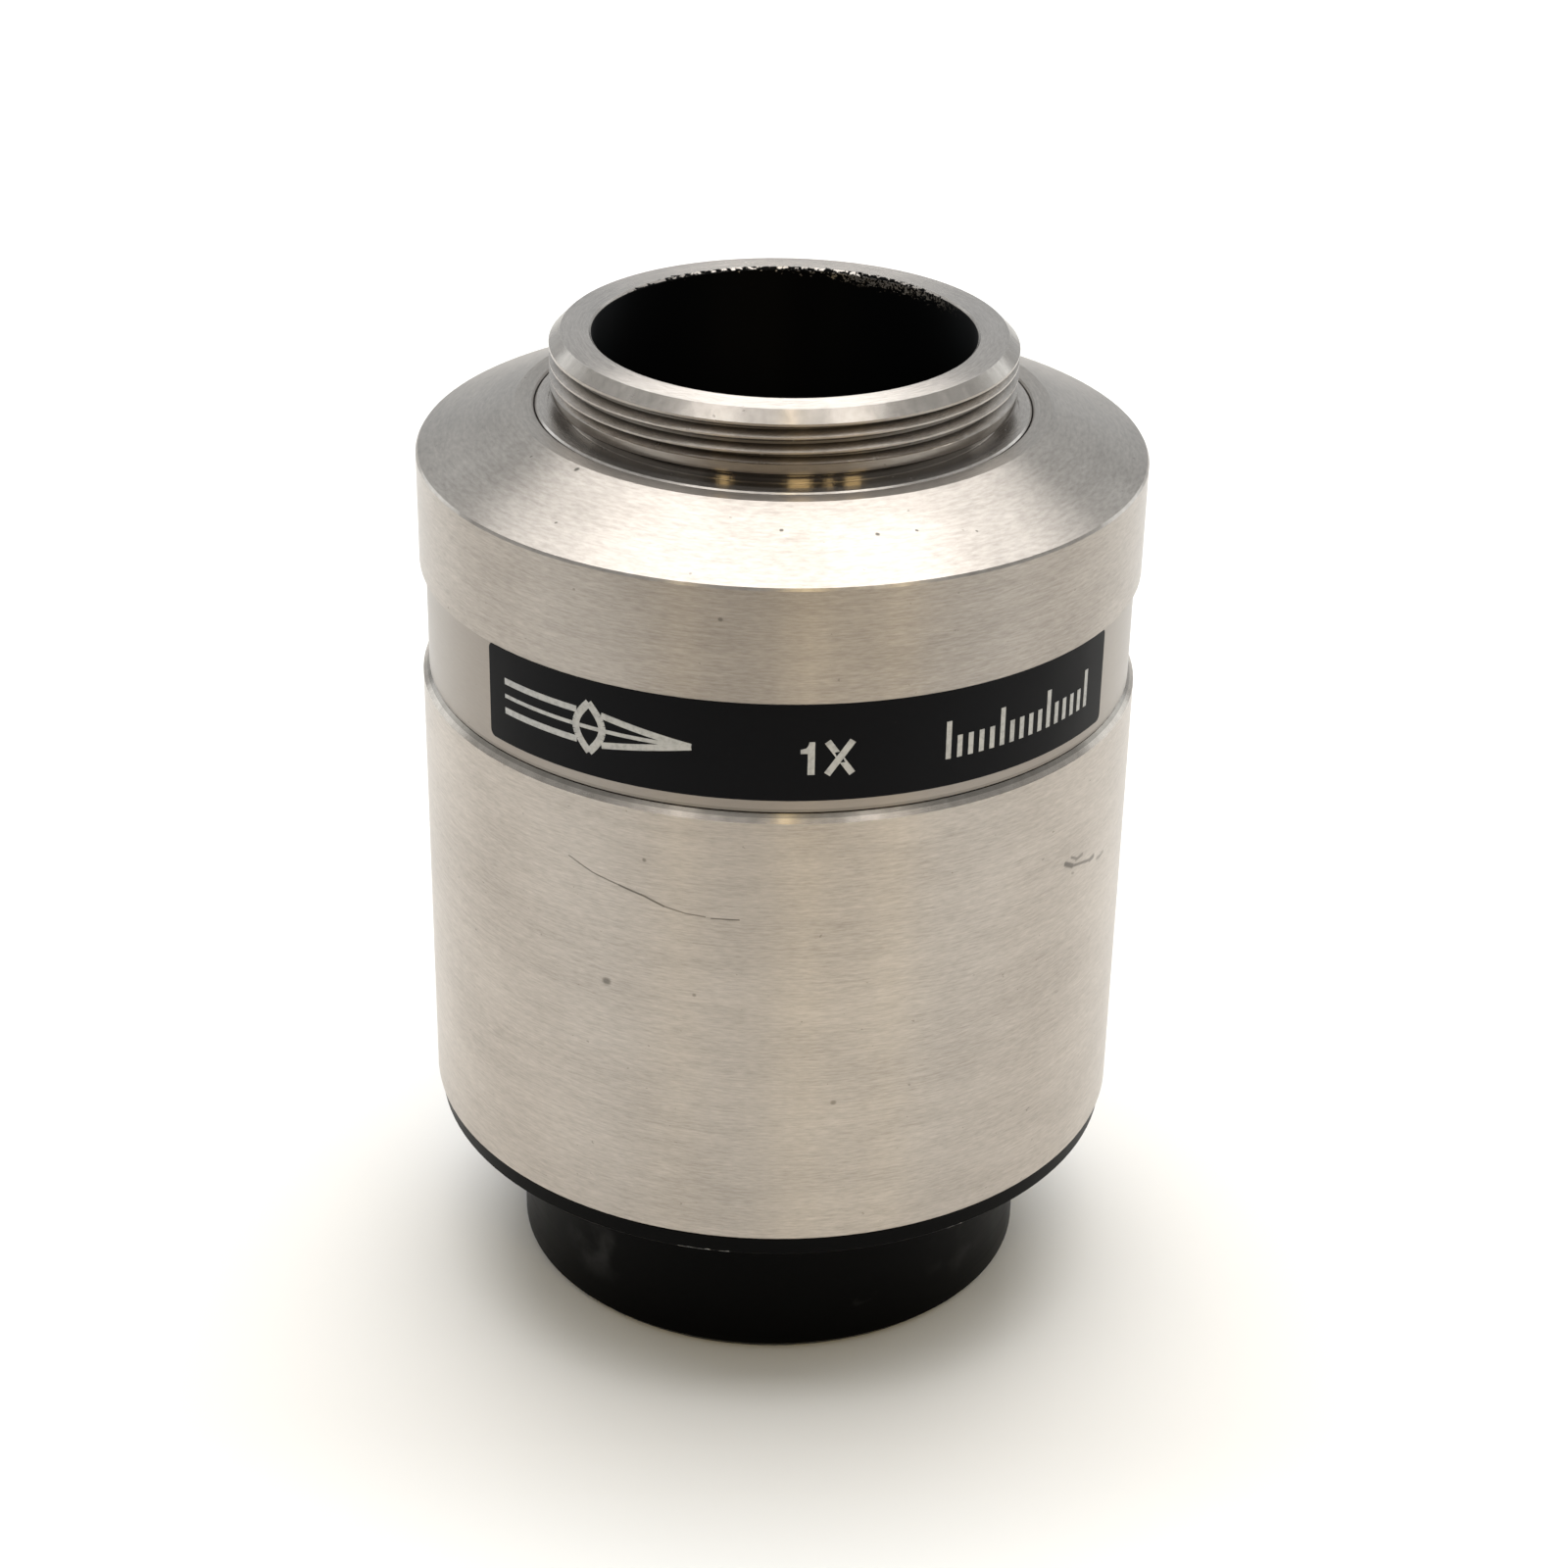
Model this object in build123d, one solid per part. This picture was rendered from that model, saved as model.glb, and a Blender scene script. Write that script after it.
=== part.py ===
"""A 1x relay lens in a C-mount camera coupler, as a turned metal assembly.

A silver upper body with a cone shoulder screws into a silver barrel, which screws onto a
black base with a 30 mm port spigot. A lens tube with two cemented doublets stands in the
base. The threaded camera nose screws up and down in the upper body to set the focus, and a
screw on the side away from the label locks it.

Millimetres, +Z up along the optical axis, origin at the centre of the spigot's lower face.
The label faces -Y.
"""
from build123d import *
import math
import os

# ---- heights along the axis, from the spigot's lower face ----
SPIGOT_LENGTH = 10.2          # lower face to the base flange
BASE_FLANGE_THICKNESS = 1.2
BODY_LENGTH = 41.4            # base flange to the camera seat
NOSE_LENGTH = 4.0             # camera seat to the top rim

# ---- outer shell ----
BODY_DIAMETER = 40.0
SEAT_RING_WIDTH = 1.02        # flat ring at the top of the cone
CONE_DROP = 2.45
BAND_HEIGHT = 6.3             # plain band between the cone and the label recess
RECESS_HEIGHT = 6.35
RECESS_DEPTH = 0.35
RIM_CHAMFER = 0.4             # at the barrel's top rim
EDGE_BREAK = 0.1
BARREL_WALL = 2.8
SKIRT_LENGTH = 5.7            # of the upper body, inside the barrel
SKIRT_WALL = 1.65

# ---- camera nose: a 1 inch, 32 threads per inch male thread ----
THREAD_DIAMETER = 25.4
THREAD_PITCH = 25.4 / 32
THREAD_DEPTH = 0.49
THREAD_CREST_FLAT = 0.1
THREAD_LEAD_IN = 0.6          # chamfer at the top rim
THREAD_TOP_LAND = 0.12
THREAD_START_ANGLE = -56.5    # degrees from +X towards +Y
PLAIN_LAND = 0.6              # unthreaded land under the thread
UNDERCUT_WIDTH = 0.6
UNDERCUT_DEPTH = 0.7
SEAT_GROOVE_DEPTH = 0.08      # the undercut runs a little under the seat face
SEAT_GROOVE_WIDTH = 0.1       # beyond the thread crests
NOSE_WALL = 1.81              # under the thread root
NOSE_BORE_CHAMFER = 0.15
NOSE_FLANGE_WIDTH = 0.8       # beyond the thread crests
NOSE_FLANGE_THICKNESS = 1.25
NOSE_SEAM = 0.08              # radial gap round the flange
SHANK_STEP = 0.25             # shank radius under the thread crests
SHANK_RELIEF_WIDTH = 0.65
SHANK_RELIEF_DEPTH = 0.35

# ---- focus travel ----
FOCUS_TRAVEL = 1.5            # two turns of a 0.75 mm thread
TRAVEL_END_GAP = 0.05
FOCUS_THREAD_LENGTH = 8.0     # bore that guides the shank
CLIP_THICKNESS = 1.0
CLIP_PROUD = 1.85             # beyond the shank
CLIP_GROOVE_DEPTH = 0.65
CLIP_OPENING = 6.0
CLIP_END_LAND = 0.8           # shank left under the clip groove

# ---- fits ----
RUNNING_GAP = 0.05            # radial, between turned parts that screw or slide together
FACE_GAP = 0.02               # along the axis, between faces that touch
CEMENT_GAP = 0.02             # along the axis, between the two halves of a doublet
GROOVE_GAP = 0.05

# ---- base ----
SPIGOT_DIAMETER = 29.9
SPIGOT_CHAMFER = 0.5
SPIGOT_ROOT_FILLET = 0.5
BASE_FLANGE_INSET = 0.25      # radial, inside the barrel
BASE_NECK_LENGTH = 7.6
BASE_LIP_HEIGHT = 2.8         # inner lip the lens tube stands on
BASE_LIP_WIDTH = 1.4
NECK_LEAD_IN = 0.5
SHIM_THICKNESS = 0.2
SHIM_WIDTH = 1.2

# ---- lens tube and optics ----
LENS_DIAMETER = 21.1
LENS_EDGE_BEVEL = 0.15
LENS_TUBE_WALL = 2.5
TUBE_LIP_HEIGHT = 1.5
LENS_SEAT_WIDTH = 1.15        # lip, spacers and ring inside the lens edge
RING_HEIGHT = 1.75
RING_SLOT_WIDTH = 1.2
RING_SLOT_DEPTH = 0.8
TUBE_TOP_LAND = 0.5
STOP_THICKNESS = 0.8
STOP_DIAMETER = 13.0
STOP_BEVEL = 0.5
LOWER_SPACER_LENGTH = 6.0
UPPER_SPACER_LENGTH = 8.0
SPACER_GROOVE_PITCH = 1.2
SPACER_GROOVE_DEPTH = 0.4
LOCK_RING_HEIGHT = 2.5
LOCK_RING_WIDTH = 3.5
LOCK_RING_NOTCHES = 4
LOCK_RING_NOTCH = 2.4
# surface radii: above 0 rises towards the edge, below 0 falls towards it
PORT_LOWER, PORT_CEMENT, PORT_UPPER = -30.0, 35.0, 80.0
PORT_CROWN_CENTRE, PORT_FLINT_CENTRE = 1.8, 2.5
CAMERA_LOWER, CAMERA_CEMENT, CAMERA_UPPER = 32.0, -24.0, -70.0
CAMERA_CROWN_CENTRE, CAMERA_FLINT_CENTRE = 6.5, 2.0

# ---- screws, on the side away from the label ----
SCREW_ANGLE = 90.0            # degrees from +X towards +Y
SCREW_DIAMETER = 3.0
SCREW_GAP = 0.04
SCREW_SUNK = 0.6              # socket end under the surface
SCREW_TIP_CHAMFER = 0.4
SCREW_SOCKET_BREAK = 0.15
HEX_ACROSS_FLATS = 1.5
HEX_DEPTH = 1.4
SET_SCREW_SUNK = 0.15
PAD_LENGTH = 1.2
PAD_DIAMETER = 2.6

# ---- label ----
LABEL_LEFT_ANGLE = 220.3      # degrees from +X towards +Y
LABEL_RIGHT_ANGLE = 331.0
LABEL_HEIGHT = 5.45
LABEL_THICKNESS = 0.12
LABEL_TOP_GAP = 0.1           # below the upper edge of the recess
LABEL_GLUE_GAP = 0.01
LABEL_CORNER = 0.4

# ---- radii worked out from the above ----
R_BODY = BODY_DIAMETER / 2
R_RECESS = R_BODY - RECESS_DEPTH
R_THREAD = THREAD_DIAMETER / 2
R_THREAD_ROOT = R_THREAD - THREAD_DEPTH
R_NOSE_BORE = R_THREAD_ROOT - NOSE_WALL
R_NOSE_FLANGE = R_THREAD + NOSE_FLANGE_WIDTH
R_COUNTERBORE = R_NOSE_FLANGE + NOSE_SEAM
R_SEAT_RING = R_COUNTERBORE + SEAT_RING_WIDTH
R_SHANK = R_THREAD - SHANK_STEP
R_CLIP = R_SHANK + CLIP_PROUD
R_FOCUS_BORE = R_SHANK + RUNNING_GAP
R_BARREL_BORE = R_BODY - BARREL_WALL
R_SKIRT = R_BARREL_BORE - RUNNING_GAP
R_CHAMBER = R_SKIRT - SKIRT_WALL
R_SPIGOT = SPIGOT_DIAMETER / 2
R_BASE_FLANGE = R_BODY - BASE_FLANGE_INSET
R_LENS = LENS_DIAMETER / 2
R_TUBE_BORE = R_LENS + RUNNING_GAP
R_TUBE = R_TUBE_BORE + LENS_TUBE_WALL
R_BASE_BORE = R_TUBE + RUNNING_GAP
R_BASE_LIP = R_BASE_BORE - BASE_LIP_WIDTH
R_LOCK_RING = R_BASE_BORE + LOCK_RING_WIDTH
R_CLEAR = R_LENS - LENS_SEAT_WIDTH
R_SCREW = SCREW_DIAMETER / 2

# ---- heights worked out from the above ----
Z_FLANGE_LOW = SPIGOT_LENGTH
Z_BARREL_LOW = Z_FLANGE_LOW + BASE_FLANGE_THICKNESS
Z_SEAT = Z_BARREL_LOW + BODY_LENGTH
Z_TOP = Z_SEAT + NOSE_LENGTH
Z_SHOULDER = Z_SEAT - CONE_DROP
Z_RECESS_TOP = Z_SHOULDER - BAND_HEIGHT
Z_JOINT = Z_RECESS_TOP - RECESS_HEIGHT
Z_SKIRT_LOW = Z_JOINT - SKIRT_LENGTH
Z_NOSE_FLANGE_LOW = Z_SEAT - NOSE_FLANGE_THICKNESS
Z_COUNTERBORE = Z_NOSE_FLANGE_LOW - FACE_GAP
Z_CHAMBER_TOP = Z_COUNTERBORE - FOCUS_THREAD_LENGTH
Z_CLIP_TOP = Z_CHAMBER_TOP - FOCUS_TRAVEL - TRAVEL_END_GAP
Z_CLIP_LOW = Z_CLIP_TOP - CLIP_THICKNESS
Z_SHANK_LOW = Z_CLIP_LOW - CLIP_END_LAND
Z_NECK_TOP = Z_BARREL_LOW + BASE_NECK_LENGTH
Z_LOCK_SCREW = (Z_SHOULDER + Z_RECESS_TOP) / 2
Z_SET_SCREWS = (Z_BARREL_LOW + BASE_NECK_LENGTH * 0.45, Z_JOINT - SKIRT_LENGTH / 2)


def sag(radius, at):
    """Height of a sphere above its vertex at a distance from the axis."""
    return math.copysign(abs(radius) - math.sqrt(radius**2 - at**2), radius)


# ---- the lens stack, from the lip of the lens tube upwards ----
R_LENS_RIM = R_LENS - LENS_EDGE_BEVEL
Z_SHIM = BASE_LIP_HEIGHT + FACE_GAP
Z_TUBE_LOW = Z_SHIM + SHIM_THICKNESS + FACE_GAP
Z_TUBE_LIP = Z_TUBE_LOW + TUBE_LIP_HEIGHT
Z_PORT_LOWER = Z_TUBE_LIP + FACE_GAP - sag(PORT_LOWER, R_LENS_RIM)
Z_PORT_CEMENT = Z_PORT_LOWER + PORT_CROWN_CENTRE
Z_PORT_UPPER = Z_PORT_CEMENT + CEMENT_GAP + PORT_FLINT_CENTRE
Z_LOWER_SPACER = Z_PORT_UPPER + sag(PORT_UPPER, R_LENS_RIM) + FACE_GAP
Z_STOP = Z_LOWER_SPACER + LOWER_SPACER_LENGTH + FACE_GAP
Z_UPPER_SPACER = Z_STOP + STOP_THICKNESS + FACE_GAP
Z_CAMERA_LOWER = Z_UPPER_SPACER + UPPER_SPACER_LENGTH + FACE_GAP - sag(CAMERA_LOWER, R_CLEAR)
Z_CAMERA_CEMENT = Z_CAMERA_LOWER + CAMERA_CROWN_CENTRE
Z_CAMERA_UPPER = Z_CAMERA_CEMENT + CEMENT_GAP + CAMERA_FLINT_CENTRE
Z_RING = Z_CAMERA_UPPER + sag(CAMERA_UPPER, R_CLEAR) + FACE_GAP
Z_TUBE_TOP = Z_RING + RING_HEIGHT + TUBE_TOP_LAND


def turned(points):
    """A full turn of a closed outline of (radius, height) points about the axis."""
    with BuildPart() as part:
        with BuildSketch(Plane.XZ):
            with BuildLine():
                Polyline(*points, close=True)
            make_face()
        revolve(axis=Axis.Z)
    return part.part


def ring(inner, outer, low, high, edge=0.0):
    """A plain ring with all four corners broken by edge."""
    if edge <= 0:
        return turned([(inner, low), (outer, low), (outer, high), (inner, high)])
    return turned([
        (inner + edge, low), (outer - edge, low), (outer, low + edge), (outer, high - edge),
        (outer - edge, high), (inner + edge, high), (inner, high - edge), (inner, low + edge),
    ])


def radial(shape, angle, height):
    """Places a shape made along +X at an angle about the axis and at a height."""
    return Pos(0, 0, height) * Rot(0, 0, angle) * shape


def rod(radius, start, end):
    """A plain rod along +X from start to end."""
    return Pos(start, 0, 0) * Rot(0, 90, 0) * Cylinder(
        radius, end - start, align=(Align.CENTER, Align.CENTER, Align.MIN))


def socket_screw(start, end):
    """A headless screw along +X: a chamfered tip at start, a hexagon socket at end."""
    outline = [
        (0, start), (R_SCREW - SCREW_TIP_CHAMFER, start), (R_SCREW, start + SCREW_TIP_CHAMFER),
        (R_SCREW, end - SCREW_SOCKET_BREAK), (R_SCREW - SCREW_SOCKET_BREAK, end), (0, end),
    ]
    hexagon = extrude(
        RegularPolygon(HEX_ACROSS_FLATS / 2, 6, major_radius=False), HEX_DEPTH + 1)
    screw = turned(outline) - Pos(0, 0, end - HEX_DEPTH) * hexagon
    return Rot(0, 90, 0) * screw


def thread_ridge(low, high):
    """The helical ridge of the camera thread; both ends are buried in plain lands."""
    root = R_THREAD_ROOT
    crest = R_THREAD - 0.01
    path = Pos(0, 0, low) * Rot(0, 0, THREAD_START_ANGLE) * Helix(
        pitch=THREAD_PITCH, height=high - low, radius=root)
    start = path @ 0
    frame = Plane(origin=start, x_dir=Vector(start.X, start.Y, 0), z_dir=path % 0)
    top = THREAD_CREST_FLAT / 2
    sunk = 0.25
    foot = top + (crest - root + sunk) * math.tan(math.radians(30))
    with BuildSketch(frame) as section:
        with BuildLine():
            Polyline((-sunk, -foot), (crest - root, -top), (crest - root, top), (-sunk, foot),
                     close=True)
        make_face()
    return sweep(section.sketch, path=path, is_frenet=True)


def camera_nose():
    """Camera nose with the male camera thread, the seat flange and the focus shank."""
    root = R_THREAD_ROOT
    flank = THREAD_DEPTH * math.tan(math.radians(30))
    land_low = Z_SEAT + UNDERCUT_WIDTH
    land_high = land_low + PLAIN_LAND
    lead_low = Z_TOP - THREAD_LEAD_IN
    top_land = lead_low - THREAD_TOP_LAND
    undercut = R_THREAD - UNDERCUT_DEPTH
    seat_inner = R_THREAD + SEAT_GROOVE_WIDTH
    relief = R_SHANK - SHANK_RELIEF_DEPTH
    z_relief = Z_NOSE_FLANGE_LOW - SHANK_RELIEF_WIDTH
    groove = R_SHANK - CLIP_GROOVE_DEPTH
    edge = NOSE_BORE_CHAMFER
    body = turned([
        (R_NOSE_BORE + edge, Z_SHANK_LOW),
        (R_SHANK - 2 * edge, Z_SHANK_LOW), (R_SHANK, Z_SHANK_LOW + 2 * edge),
        (R_SHANK, Z_CLIP_LOW - GROOVE_GAP), (groove, Z_CLIP_LOW - GROOVE_GAP),
        (groove, Z_CLIP_TOP + GROOVE_GAP), (R_SHANK, Z_CLIP_TOP + GROOVE_GAP),
        (R_SHANK, z_relief), (relief, z_relief),
        (relief, Z_NOSE_FLANGE_LOW), (R_NOSE_FLANGE, Z_NOSE_FLANGE_LOW),
        (R_NOSE_FLANGE, Z_SEAT - EDGE_BREAK), (R_NOSE_FLANGE - EDGE_BREAK, Z_SEAT),
        (seat_inner, Z_SEAT), (seat_inner, Z_SEAT - SEAT_GROOVE_DEPTH),
        (undercut, Z_SEAT - SEAT_GROOVE_DEPTH), (undercut, land_low - 0.15), (R_THREAD - EDGE_BREAK, land_low),
        (R_THREAD, land_low + EDGE_BREAK), (R_THREAD, land_high), (root, land_high + flank),
        (root, top_land - flank), (R_THREAD, top_land),
        (R_THREAD, lead_low), (R_THREAD - THREAD_LEAD_IN, Z_TOP),
        (R_NOSE_BORE + edge, Z_TOP), (R_NOSE_BORE, Z_TOP - edge),
        (R_NOSE_BORE, Z_SHANK_LOW + edge),
    ])
    return body + thread_ridge(land_high - 0.08, top_land + 0.08)


def nose_clip():
    """Open retaining clip in the groove near the foot of the nose."""
    inner = R_SHANK - CLIP_GROOVE_DEPTH + GROOVE_GAP
    clip = ring(inner, R_CLIP, Z_CLIP_LOW, Z_CLIP_TOP, EDGE_BREAK)
    gap = Pos(0, R_CLIP, (Z_CLIP_LOW + Z_CLIP_TOP) / 2) * Box(
        CLIP_OPENING, 2 * R_CLIP, CLIP_THICKNESS * 2)
    return clip - gap


def upper_body():
    """Cone shoulder, upper band and label recess, with a skirt that screws into the barrel."""
    edge = EDGE_BREAK
    body = turned([
        (R_FOCUS_BORE, Z_CHAMBER_TOP), (R_CHAMBER, Z_CHAMBER_TOP),
        (R_CHAMBER, Z_SKIRT_LOW), (R_SKIRT - 0.3, Z_SKIRT_LOW), (R_SKIRT, Z_SKIRT_LOW + 0.3),
        (R_SKIRT, Z_JOINT), (R_RECESS - edge, Z_JOINT), (R_RECESS, Z_JOINT + edge),
        (R_RECESS, Z_RECESS_TOP), (R_BODY - edge / 2, Z_RECESS_TOP),
        (R_BODY, Z_RECESS_TOP + edge / 2), (R_BODY, Z_SHOULDER - edge),
        (R_BODY - edge, Z_SHOULDER + edge / 2), (R_SEAT_RING, Z_SEAT),
        (R_COUNTERBORE + edge, Z_SEAT), (R_COUNTERBORE, Z_SEAT - edge),
        (R_COUNTERBORE, Z_COUNTERBORE), (R_FOCUS_BORE, Z_COUNTERBORE),
    ])
    hole = rod(R_SCREW + SCREW_GAP, (R_FOCUS_BORE - 1), R_BODY + 1)
    return body - radial(hole, SCREW_ANGLE, Z_LOCK_SCREW)


def lower_barrel():
    """Plain silver barrel between the upper body and the base."""
    top = Z_JOINT - FACE_GAP
    low = Z_BARREL_LOW + FACE_GAP
    edge = EDGE_BREAK
    barrel = turned([
        (R_BARREL_BORE + edge, low), (R_BODY - edge, low), (R_BODY, low + edge),
        (R_BODY, top - RIM_CHAMFER), (R_BODY - RIM_CHAMFER, top),
        (R_BARREL_BORE + edge, top), (R_BARREL_BORE, top - edge), (R_BARREL_BORE, low + edge),
    ])
    hole = rod(R_SCREW + SCREW_GAP, R_BARREL_BORE - 1, R_BODY + 1)
    for z in Z_SET_SCREWS:
        barrel -= radial(hole, SCREW_ANGLE, z)
    return barrel


def base_spigot():
    """Black base: port spigot, flange, neck for the barrel, bore for the lens tube."""
    edge = 1.5 * EDGE_BREAK
    lip = R_BASE_LIP
    base = turned([
        (lip + edge, 0), (R_SPIGOT - SPIGOT_CHAMFER, 0), (R_SPIGOT, SPIGOT_CHAMFER),
        (R_SPIGOT, Z_FLANGE_LOW),
        (R_BASE_FLANGE - edge, Z_FLANGE_LOW), (R_BASE_FLANGE, Z_FLANGE_LOW + edge),
        (R_BASE_FLANGE, Z_BARREL_LOW - edge), (R_BASE_FLANGE - edge, Z_BARREL_LOW),
        (R_SKIRT, Z_BARREL_LOW),
        (R_SKIRT, Z_NECK_TOP - NECK_LEAD_IN), (R_SKIRT - NECK_LEAD_IN, Z_NECK_TOP),
        (R_BASE_BORE + edge, Z_NECK_TOP), (R_BASE_BORE, Z_NECK_TOP - edge),
        (R_BASE_BORE, BASE_LIP_HEIGHT), (lip, BASE_LIP_HEIGHT), (lip, edge),
    ])
    corner = [
        e for e in base.edges().filter_by(GeomType.CIRCLE)
        if abs(e.radius - R_SPIGOT) < 1e-4 and abs(e.center().Z - Z_FLANGE_LOW) < 1e-4
    ]
    return fillet(corner, SPIGOT_ROOT_FILLET)


def tube_shim():
    """Thin ring under the lens tube that sets its height."""
    return ring(R_TUBE - SHIM_WIDTH, R_TUBE, Z_SHIM, Z_SHIM + SHIM_THICKNESS)


def lens_tube():
    """Tube that holds the whole lens stack, open at the top, with a lip at the bottom."""
    edge = 2 * EDGE_BREAK
    return turned([
        (R_CLEAR + edge, Z_TUBE_LOW), (R_TUBE - edge, Z_TUBE_LOW), (R_TUBE, Z_TUBE_LOW + edge),
        (R_TUBE, Z_TUBE_TOP - edge), (R_TUBE - edge, Z_TUBE_TOP),
        (R_TUBE_BORE + edge, Z_TUBE_TOP), (R_TUBE_BORE, Z_TUBE_TOP - edge),
        (R_TUBE_BORE, Z_TUBE_LIP), (R_CLEAR, Z_TUBE_LIP), (R_CLEAR, Z_TUBE_LOW + edge),
    ])


def tube_lock_ring():
    """Notched ring nut that locks the lens tube against the base."""
    low = Z_NECK_TOP + FACE_GAP
    outer = R_LOCK_RING
    nut = ring(R_BASE_BORE, outer, low, low + LOCK_RING_HEIGHT, 1.5 * EDGE_BREAK)
    notch = Pos(outer, 0, low + LOCK_RING_HEIGHT / 2) * Box(
        LOCK_RING_NOTCH, LOCK_RING_NOTCH, LOCK_RING_HEIGHT * 2)
    for i in range(LOCK_RING_NOTCHES):
        nut -= Rot(0, 0, 360 / LOCK_RING_NOTCHES * i) * notch
    return nut


def lens(lower_radius, lower, upper_radius, upper):
    """One lens element between two spheres given by radius and vertex height."""
    bevel = LENS_EDGE_BEVEL
    rim = R_LENS_RIM
    low_rim = lower + sag(lower_radius, rim)
    high_rim = upper + sag(upper_radius, rim)
    with BuildPart() as part:
        with BuildSketch(Plane.XZ):
            with BuildLine():
                ThreePointArc((0, lower), (rim / 2, lower + sag(lower_radius, rim / 2)),
                              (rim, low_rim))
                Polyline((rim, low_rim), (R_LENS, low_rim + bevel),
                         (R_LENS, high_rim - bevel), (rim, high_rim))
                ThreePointArc((rim, high_rim), (rim / 2, upper + sag(upper_radius, rim / 2)),
                              (0, upper))
                Line((0, upper), (0, lower))
            make_face()
        revolve(axis=Axis.Z)
    return part.part


def spacer(low, length):
    """Blackened spacer ring with light-trap grooves round its bore."""
    high = low + length
    points = [(R_CLEAR, low), (R_LENS, low), (R_LENS, high), (R_CLEAR, high)]
    grooves = max(1, int((length - 1.2) / SPACER_GROOVE_PITCH))
    start = high - (length - grooves * SPACER_GROOVE_PITCH) / 2
    for i in range(grooves):
        z = start - i * SPACER_GROOVE_PITCH
        points += [
            (R_CLEAR, z - 0.2), (R_CLEAR + SPACER_GROOVE_DEPTH, z - SPACER_GROOVE_PITCH / 2),
            (R_CLEAR, z - SPACER_GROOVE_PITCH + 0.2),
        ]
    return turned(points)


def aperture_stop():
    """Thin disc with a bevelled hole between the two spacers."""
    hole = STOP_DIAMETER / 2
    return turned([
        (hole, Z_STOP), (R_LENS, Z_STOP), (R_LENS, Z_STOP + STOP_THICKNESS),
        (hole + STOP_BEVEL, Z_STOP + STOP_THICKNESS), (hole, Z_STOP + 0.25),
    ])


def lens_retaining_ring():
    """Slotted ring that holds the lens stack down in its tube."""
    retainer = ring(R_CLEAR, R_LENS, Z_RING, Z_RING + RING_HEIGHT)
    slot = Pos(0, 0, Z_RING + RING_HEIGHT) * Box(3 * R_LENS, RING_SLOT_WIDTH, 2 * RING_SLOT_DEPTH)
    return retainer - slot


def lock_pad():
    """Soft pad between the lock screw and the focus thread."""
    start = R_SHANK + FACE_GAP
    return radial(rod(PAD_DIAMETER / 2, start, start + PAD_LENGTH), SCREW_ANGLE, Z_LOCK_SCREW)


def lock_screw():
    """Screw that holds the camera nose where it is set."""
    start = R_SHANK + FACE_GAP + PAD_LENGTH + FACE_GAP
    return radial(socket_screw(start, R_BODY - SCREW_SUNK), SCREW_ANGLE, Z_LOCK_SCREW)


def barrel_set_screws():
    """Two identical set screws that stop the barrel threads turning."""
    screw = socket_screw(R_SKIRT + FACE_GAP, R_BODY - SET_SCREW_SUNK)
    return Compound([radial(screw, SCREW_ANGLE, z).solid() for z in Z_SET_SCREWS])


def name_label():
    """Thin curved label in the recess."""
    inner = R_RECESS + LABEL_GLUE_GAP
    high = Z_RECESS_TOP - LABEL_TOP_GAP
    low = high - LABEL_HEIGHT
    with BuildPart() as part:
        with BuildSketch(Plane.XZ):
            with BuildLine():
                Polyline((inner, low), (inner + LABEL_THICKNESS, low),
                         (inner + LABEL_THICKNESS, high), (inner, high), close=True)
            make_face()
        revolve(axis=Axis.Z, revolution_arc=LABEL_RIGHT_ANGLE - LABEL_LEFT_ANGLE)
    strip = part.part
    corners = [e for e in strip.edges().filter_by(GeomType.LINE)
               if abs(e.length - LABEL_THICKNESS) < 1e-4]
    strip = fillet(corners, LABEL_CORNER)
    return Rot(0, 0, LABEL_LEFT_ANGLE) * strip


PARTS = {
    "camera_nose": camera_nose,
    "nose_clip": nose_clip,
    "upper_body": upper_body,
    "lower_barrel": lower_barrel,
    "base_spigot": base_spigot,
    "name_label": name_label,
    "lock_screw": lock_screw,
    "lock_pad": lock_pad,
    "barrel_set_screws": barrel_set_screws,
    "tube_shim": tube_shim,
    "lens_tube": lens_tube,
    "tube_lock_ring": tube_lock_ring,
    "port_lens_concave": lambda: lens(
        PORT_LOWER, Z_PORT_LOWER, PORT_CEMENT, Z_PORT_CEMENT),
    "port_lens_meniscus": lambda: lens(
        PORT_CEMENT, Z_PORT_CEMENT + CEMENT_GAP, PORT_UPPER, Z_PORT_UPPER),
    "lower_spacer": lambda: spacer(Z_LOWER_SPACER, LOWER_SPACER_LENGTH),
    "aperture_stop": aperture_stop,
    "upper_spacer": lambda: spacer(Z_UPPER_SPACER, UPPER_SPACER_LENGTH),
    "camera_lens_convex": lambda: lens(
        CAMERA_LOWER, Z_CAMERA_LOWER, CAMERA_CEMENT, Z_CAMERA_CEMENT),
    "camera_lens_meniscus": lambda: lens(
        CAMERA_CEMENT, Z_CAMERA_CEMENT + CEMENT_GAP, CAMERA_UPPER, Z_CAMERA_UPPER),
    "lens_retaining_ring": lens_retaining_ring,
}


os.makedirs("parts", exist_ok=True)
for name, make in PARTS.items():
    export_step(make(), f"parts/{name}.step")
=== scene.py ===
# %% [markdown]
# # A camera coupler lens, finished in Blender
# The coupler is a turned silver tube: a threaded camera nose, a cone shoulder, a recessed band
# with a black label, a plain barrel and a black base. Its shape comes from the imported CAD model,
# so this lesson gives it what the CAD can't: turned metal, black anodising, glass, a printed
# label and the light of a small studio.

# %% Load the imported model
import bpy
import math
from mathutils import Matrix, Vector


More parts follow.
